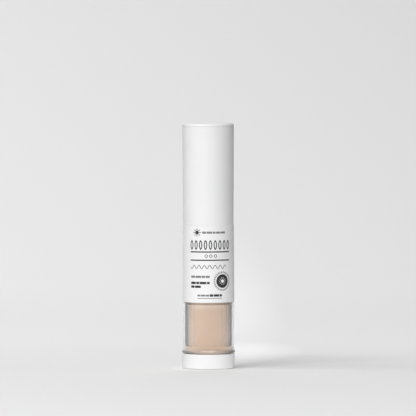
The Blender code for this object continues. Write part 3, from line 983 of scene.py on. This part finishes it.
def printBlack():
    s = printSizes
    bm = bmesh.new()
    for middle in s["ruleHeights"]:
        inkBar(bm, s["left"], s["right"], middle - s["ruleWidth"] / 2, middle + s["ruleWidth"] / 2)
    inkDashes(bm, blackDashes)
    inkDisc(bm, badge["centre"], badge["radius"], steps=badge["steps"])
    inkDisc(bm, sun["centre"], sun["radius"])
    inkRays(bm, sun["centre"], *sun["rays"])
    b = leafBorder
    halfWidth, halfHeight = b["width"] / 2, b["height"] / 2
    pitch = (s["right"] - s["left"] - b["width"]) / (b["count"] - 1)
    for i in range(b["count"]):
        centre = (s["left"] + halfWidth + pitch * i, b["foot"] + halfHeight)
        outer = leafPoints(centre, halfWidth, halfHeight)
        inner = leafPoints(centre, halfWidth - b["stroke"], halfHeight - b["tipStroke"])
        inkRibbon(bm, inner, outer, closed=True)
    makePiece("printBlack", bm, blackInk, "brush_head")


def printGrey():
    bm = bmesh.new()
    inkDashes(bm, greyDashes)
    inkBar(bm, *underline)
    for place in ringRow["places"]:
        inner, outer = (circlePoints((place, ringRow["up"]), radius) for radius in ringRow["radii"])
        inkRibbon(bm, inner, outer, closed=True)
    inkRays(bm, badge["centre"], *badge["ticks"])
    w = wave
    points = []
    for i in range(w["steps"] + 1):
        x = w["left"] + (w["right"] - w["left"]) * i / w["steps"]
        points.append((x, w["middle"] + w["swing"] * math.sin(2 * math.pi * x / w["length"])))
    inkStroke(bm, points, w["width"])
    makePiece("printGrey", bm, greyInk, "brush_head")


def printWhite():
    bm = bmesh.new()
    lift = printSizes["thickness"]
    inkDisc(bm, badge["centre"], badge["heart"], lift)
    inkRays(bm, badge["centre"], *badge["rays"], lift)
    makePiece("printWhite", bm, whiteInk, "brush_head")


printBlack()
printGrey()
printWhite()
print("label printed")


# cap and its liner

capSizes = {
    "mouthRadius": 12.07 * mm,
    "wall": 0.95 * mm,
    "taper": 0.28 * mm,
    "topWall": 1.5 * mm,
    "topFillet": 1.3 * mm,
    "mouthFillet": 0.04 * mm,
    "mouthDrop": 0.18 * mm,  # the lip comes down close to the label
    "ceilingFillet": 0.6 * mm,
    "gateRadius": 0.7 * mm,  # the dimple left by the mould's gate
    "gateDepth": 0.12 * mm,
    "gateFillet": 0.04 * mm,
}


def makeCap():
    s = capSizes
    radius, foot, top = nodeSpan("cap_shell")
    foot -= s["mouthDrop"]
    bore = s["mouthRadius"] - s["wall"]
    ceiling = top - s["topWall"]
    corners = [
        (0, ceiling, 0),
        (bore + s["taper"], ceiling, s["ceilingFillet"]),
        (bore, foot, s["mouthFillet"]),
        (s["mouthRadius"], foot, s["mouthFillet"]),
        (radius, top, s["topFillet"]),
        (s["gateRadius"], top, s["gateFillet"]),
        (s["gateRadius"], top - s["gateDepth"], s["gateFillet"]),
        (0, top - s["gateDepth"], 0),
    ]
    turnedPiece("capShell", corners, False, capWhite, "cap", "cap_shell")


linerSizes = {
    "wall": 0.8 * mm,
    "edge": 0.25 * mm,
    "groove": 0.1 * mm,
    "grooveUp": 5.3 * mm,
    "grooveRun": 0.7 * mm,
    "grooveFillet": 0.3 * mm,
}


def makeLiner():
    s = linerSizes
    radius, foot, top = nodeSpan("cap_liner")
    bore = radius - s["wall"]
    middle = foot + s["grooveUp"]
    corners = [
        (bore, foot, s["edge"]),
        (radius, foot, s["edge"]),
        (radius, top, s["edge"]),
        (bore, top, s["edge"]),
        *bead(bore, middle, s["groove"], -s["grooveRun"], s["grooveFillet"]),
    ]
    turnedPiece("capLiner", corners, True, valvePlastic, "cap", "cap_liner")


makeCap()
makeLiner()
print("cap made")


# brush: collar, ferrule and tuft

collarSizes = {
    "plugRadius": 10.68 * mm,
    "plugWall": 1.2 * mm,
    "collarWall": 0.8 * mm,
    "collarRadius": 9.71 * mm,
    "shoulder": 68.9 * mm,
    "webFoot": 67.3 * mm,
    "webTop": 68.5 * mm,
    "hole": 2.3 * mm,
    "beadDrop": 3.0 * mm,
    "bead": 0.15 * mm,
    "beadRun": 0.6 * mm,
    "beadFillet": 0.4 * mm,
    "topFillet": 0.3 * mm,
    "edge": 0.15 * mm,
}


def makeCollar():
    s = collarSizes
    foot, top = nodeSpan("brush_collar")[1:]
    edge = s["edge"]
    middle = top - s["beadDrop"]
    plugInner = s["plugRadius"] - s["plugWall"]
    collarBore = s["collarRadius"] - s["collarWall"]
    corners = [
        (s["hole"], s["webFoot"], edge),
        (plugInner, s["webFoot"], edge),
        (plugInner, foot, edge),
        (s["plugRadius"], foot, edge),
        (s["plugRadius"], s["shoulder"], edge),
        (s["collarRadius"], s["shoulder"], edge),
        *bead(s["collarRadius"], middle, s["bead"], s["beadRun"], s["beadFillet"]),
        (s["collarRadius"], top, s["topFillet"]),
        (collarBore, top, edge),
        (collarBore, s["webTop"], edge),
        (s["hole"], s["webTop"], edge),
    ]
    turnedPiece(
        "brushCollar", corners, True, sleeveWhite, "brush_head", "brush_collar"
    )


ferruleSizes = {
    "radius": 8.61 * mm,
    "wall": 0.4 * mm,
    "floor": 0.6 * mm,
    "lip": 0.25 * mm,
    "grooveDrop": 2.6 * mm,  # from the rim to a rolled groove
    "groove": 0.14 * mm,
    "grooveRun": 0.45 * mm,
    "hole": 2.3 * mm,
    "footFillet": 0.5 * mm,
    "rollFillet": 0.2 * mm,
    "edge": 0.1 * mm,
    "holeEdge": 0.05 * mm,
}


def makeFerrule():
    s = ferruleSizes
    foot, top = nodeSpan("ferrule")[1:]
    bore = s["radius"] - s["wall"]
    rolled = top - s["grooveDrop"]
    roll, edge = s["rollFillet"], s["edge"]
    corners = [
        (s["hole"], foot, edge),
        (s["radius"], foot, s["footFillet"]),
        *bead(s["radius"], rolled, -s["groove"], s["grooveRun"], roll),
        (s["radius"], top - 2 * s["lip"], roll),
        (s["radius"] + s["lip"], top - s["lip"], roll),
        (s["radius"], top, edge),
        (bore, top, edge),
        (bore, foot + s["floor"], roll),
        (s["hole"], foot + s["floor"], s["holeEdge"]),
    ]
    turnedPiece("ferruleCup", corners, True, aluminium, "brush_head", "ferrule")


tuftSizes = {
    "hairs": 6500,
    "sections": 4,
    "rootRadius": 0.062 * mm,
    "tipRadius": 0.018 * mm,
    "thinning": 1.5,  # above 1 the hair stays thick for longer
    "inner": 2.4 * mm,
    "outer": 7.75 * mm,
    "spread": 9.25 * mm,
    "backing": 0.8 * mm,  # thickness of the slice that the hairs stand on
    "backingSteps": 72,
    "dome": 4.2 * mm,
    "domePower": 2.2,
    "ragged": 1.3 * mm,  # how much shorter the shortest hairs are
    "raggedPower": 3,
    "rootJitter": 0.02,  # radians
    "stray": 0.5 * mm,  # the next three shares are of this
    "outShare": 0.3,
    "asideShare": 0.5,
    "bendShares": (-0.25, 0.45),
    "twistShare": 0.5,  # of the hair's own step aside
    "seed": 11,
}


def addHair(bm, root, tip, bend, twist):
    # three-sided, and it narrows to a point
    s = tuftSizes
    rings = []
    for k in range(s["sections"]):
        share = k / s["sections"]
        centre = root.lerp(tip, share) + bend * math.sin(math.pi * share)
        width = s["rootRadius"] + (s["tipRadius"] - s["rootRadius"]) * share ** s["thinning"]
        turns = [twist + 2 * math.pi * c / 3 for c in range(3)]
        corners = [Vector((width * math.cos(t), width * math.sin(t), 0)) for t in turns]
        rings.append([bm.verts.new(centre + corner) for corner in corners])
    for lower, upper in zip(rings, rings[1:]):
        joinRings(bm, lower, upper)
    joinRings(bm, rings[-1], [bm.verts.new(tip)])
    bm.faces.new(rings[0])


def makeTuft():
    s = tuftSizes
    foot, top = nodeSpan("bristle_tuft")[1:]
    inner, outer, stray = s["inner"], s["outer"], s["stray"]
    backing = foot + s["backing"]
    draw = random.Random(s["seed"])
    golden = math.pi * (3 - math.sqrt(5))
    bm = bmesh.new()
    for i in range(s["hairs"]):
        share = (i + 0.5) / s["hairs"]
        radius = math.sqrt(inner ** 2 + (outer ** 2 - inner ** 2) * share)
        turn = i * golden + draw.uniform(-s["rootJitter"], s["rootJitter"])
        out = Vector((math.cos(turn), math.sin(turn), 0))
        reach = radius / outer
        spread = radius * s["spread"] / outer + draw.gauss(0, s["outShare"]) * stray
        height = top - s["dome"] * reach ** s["domePower"]
        height -= s["ragged"] * draw.random() ** s["raggedPower"]
        aside = Vector((-out.y, out.x, 0)) * draw.gauss(0, s["asideShare"]) * stray
        tip = out * min(spread, s["spread"]) + aside + Vector((0, 0, height))
        root = out * radius + Vector((0, 0, backing))
        bend = out * draw.uniform(*s["bendShares"]) * stray
        bend += aside * draw.uniform(-s["twistShare"], s["twistShare"])
        addHair(bm, root, tip, bend, draw.uniform(0, 2 * math.pi))
    outline = [(inner, foot), (outer, foot), (outer, backing), (inner, backing)]
    turnOutline(bm, outline, True, s["backingSteps"])
    fibre = fibreFinish(backing, top - s["dome"])
    makePiece("bristleTuft", bm, fibre, "brush_head", "bristle_tuft")


makeCollar()
makeFerrule()
makeTuft()
print("brush made")


# the feed tube and the pieces inside the sleeve keep their solids and get their own finish

innerFinishes = {
    "sifter_plate": valvePlastic,
    "coupling_ring": valvePlastic,
    "shutter_disc": valvePlastic,
    "powder_funnel": valvePlastic,
    "feed_tube": valvePlastic,
    "tuft_base": valvePlastic,
    "neck_seal": greySilicone,
    "valve_gasket": greySilicone,
}

for node, material in innerFinishes.items():
    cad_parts[node].data.materials.clear()
    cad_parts[node].data.materials.append(material)
print("inner pieces finished")


# studio: a pale sweep, a soft key and three more lamps on the left, two wide fills

studio = {
    "shader": {"Roughness": 0.9},
    "relief": ((0.01 * mm, 1.5 * mm, 4),),
    # painted light and shade: the sweep's tone at distances behind the object, darker far back as if
    # the far part got less light
    "tones": (
        (-0.3, 0.77),
        (0.0, 0.735),
        (0.2, 0.795),
        (0.6, 0.812),
        (1.0, 0.768),
        (1.5, 0.705),
        (2.0, 0.665),
    ),
    # painted light: a pool of light from the clear window on the floor beside it, and a paler patch
    # behind the window
    "glows": (
        {"centre": (0.018, 0.125), "reach": (0.032, 0.078), "gain": 1.15},
        {"centre": (0.013, 0.45), "reach": (0.032, 0.4), "gain": 1.12},
    ),
    "glowFade": (0.3, 1.0),  # from full to none, as shares of the reach
    "leftToRight": 0.25,  # painted shade: the tone's loss over the side span, paler on the left where the lamps stand
    "sideSpan": (-0.5, 0.5),
    "bounceNear": (0.58, 0.58, 0.58),  # what the floor sends back at the object, close to its foot
    "bounceRight": (0.95, 0.95, 0.95),
    "bounceSides": (0.0, 0.015),  # from the left tone to the right one
    "bounceFar": (0.24, 0.24, 0.24),
    "bounceReach": (0.03, 0.14),
    "bounceBack": (1.0, 1.0, 1.0),  # what the curve and the wall behind send at the object's back
    "backReach": (0.4, 0.9),
    "backSides": (1.2, 1.8),
    "mirrorFade": (0.35, 0.7),  # how far aside gloss and glass still see the pale tone
    "mirrorSides": (0.12, 0.12, 0.12),
    "sweepWidth": 9.0,
    "front": -5.0,
    "wallAt": 2.65,
    "wallHeight": 5.0,
    "bendRadius": 2.2,
    "bendSteps": 32,
    "worldColour": (1.0, 1.0, 1.0),
    "worldStrength": 0.06,
}


def distance(finish, place):
    # from the origin of that place
    return finish.node("VectorMath", {0: place}, "Value", operation="LENGTH")


def glowGain(finish, glow):
    # the tone's gain in an oval patch of the sweep: a painted pool of light
    spot = {"Location": (*glow["centre"], 0), "Scale": (*glow["reach"], studio["wallHeight"])}
    inputs = {"Vector": finish.place, **spot}
    place = finish.node("Mapping", inputs, "Vector", vector_type="TEXTURE")
    return finish.ranged(distance(finish, place), glow["gain"], 1, *studio["glowFade"])


def paperTone(finish):
    # what the camera sees
    s = studio
    first, last = s["tones"][0][0], s["tones"][-1][0]
    stops = [((y - first) / (last - first), (tone,) * 3) for y, tone in s["tones"]]
    tone = finish.ramp(finish.ranged(finish.axis("Y"), 0, 1, first, last), stops)
    # painted light: paler on the left, darker on the right
    loss = s["leftToRight"] / 2
    gain = finish.ranged(finish.axis("X"), 1 + loss, 1 - loss, *s["sideSpan"])
    for glow in s["glows"]:
        gain = finish.combined("MULTIPLY", gain, glowGain(finish, glow))
    return finish.node("VectorMath", {0: tone, "Scale": gain}, "Vector", operation="SCALE")


def bounceTone(finish, aside):
    # what the object is lit with
    s = studio
    right = finish.ranged(finish.axis("X"), 0, 1, *s["bounceSides"])
    near = finish.blended(right, s["bounceNear"], s["bounceRight"])
    reach = finish.ranged(distance(finish, finish.place), 0, 1, *s["bounceReach"])
    floor = finish.blended(reach, near, s["bounceFar"])
    far = finish.ranged(finish.axis("Y"), 0, 1, *s["backReach"])
    middle = finish.ranged(aside, 1, 0, *s["backSides"])
    return finish.blended(finish.combined("MULTIPLY", far, middle), floor, s["bounceBack"])


def sweepFinish():
    s = studio
    finish = Finish("sweepPaper", s)
    aside = finish.combined("ABSOLUTE", finish.axis("X"))
    seen = paperTone(finish)
    inMirror = finish.blended(finish.ranged(aside, 0, 1, *s["mirrorFade"]), seen, s["mirrorSides"])
    mirrored = finish.combined("MAXIMUM", finish.ray("Glossy"), finish.ray("Transmission"))
    unseen = finish.blended(mirrored, bounceTone(finish, aside), inMirror)
    finish.colour(finish.blended(finish.ray("Camera"), unseen, seen))
    return finish.material


def makeSweep():
    s = studio
    profile = [(s["front"], 0.0), (s["wallAt"] - s["bendRadius"], 0.0)]
    for i in range(1, s["bendSteps"] + 1):
        turn = math.pi / 2 * i / s["bendSteps"]
        y = s["wallAt"] - s["bendRadius"] * (1 - math.sin(turn))
        profile.append((y, s["bendRadius"] * (1 - math.cos(turn))))
    profile.append((s["wallAt"], s["wallHeight"]))
    sides = (-s["sweepWidth"] / 2, s["sweepWidth"] / 2)
    bm = bmesh.new()
    rows = [[bm.verts.new((x, y, z)) for x in sides] for y, z in profile]
    for lower, upper in zip(rows, rows[1:]):
        bm.faces.new((lower[0], lower[1], upper[1], upper[0]))
    addMesh("studioSweep", bm, sweepFinish())


# azimuth from the camera's side, negative to the left, and elevation, in degrees; size in metres
# and power in watts; a fill casts no shadow
lamps = {
    "key": {"azimuth": -39, "elevation": 50, "size": (2.4, 1.5), "power": 143},
    "left": {"azimuth": -60, "elevation": 34, "size": (1.8, 1.8), "power": 29},
    "leftHigh": {"azimuth": -76, "elevation": 50, "size": (1.8, 1.8), "power": 47},
    "side": {"azimuth": -90, "elevation": 34, "size": (1.8, 1.8), "power": 31},
    "front": {"azimuth": 0, "elevation": 28, "size": (6.0, 3.2), "power": 272, "shadow": False},
    "right": {"azimuth": 50, "elevation": 28, "size": (6.0, 3.2), "power": 38, "shadow": False},
}
lampReach = 6.0  # from the point they aim at
lampAim = Vector((0, 0, 0.05))


def makeLamps():
    for name, lamp in lamps.items():
        azimuth, elevation = math.radians(lamp["azimuth"]), math.radians(lamp["elevation"])
        level = math.cos(elevation)
        way = Vector((math.sin(azimuth) * level, -math.cos(azimuth) * level, math.sin(elevation)))
        data = bpy.data.lights.new(name, "AREA")
        data.shape = "RECTANGLE"
        data.size, data.size_y = lamp["size"]
        data.energy = lamp["power"]
        data.use_shadow = lamp.get("shadow", True)
        light = addObject(name, data)
        light.location = lampAim + way * lampReach
        light.rotation_euler = (-way).to_track_quat("-Z", "Y").to_euler()


def makeWorld():
    world = bpy.data.worlds.new("studioWorld")
    bpy.context.scene.world = world
    world.use_nodes = True
    sky = world.node_tree.nodes["Background"]
    sky.inputs["Color"].default_value = (*studio["worldColour"], 1)
    sky.inputs["Strength"].default_value = studio["worldStrength"]


cameraSetup = {
    "distance": 2.2,
    "height": 0.154,
    "aimHeight": 0.0767,
    "aside": -0.00013,
    "viewAngle": math.radians(5.18),
    "roll": math.radians(-0.1),
    "sensor": 36,
    "clip": (0.05, 50),
}


def makeCamera():
    s = cameraSetup
    data = bpy.data.cameras.new("camera")
    data.sensor_width = s["sensor"]
    data.angle = s["viewAngle"]
    data.clip_start, data.clip_end = s["clip"]
    camera = addObject("camera", data)
    camera.location = (s["aside"], -s["distance"], s["height"])
    aim = Vector((s["aside"], 0, s["aimHeight"])) - camera.location
    turned = aim.to_track_quat("-Z", "Y").to_matrix() @ Matrix.Rotation(s["roll"], 3, "Z")
    camera.rotation_euler = turned.to_euler()
    bpy.context.scene.camera = camera


makeSweep()
makeLamps()
makeWorld()
makeCamera()
scene = bpy.context.scene
scene.view_settings.view_transform = "Standard"
# the clear walls let the lamps' light through by themselves
scene.cycles.caustics_reflective = False
scene.cycles.caustics_refractive = False
print("studio ready")
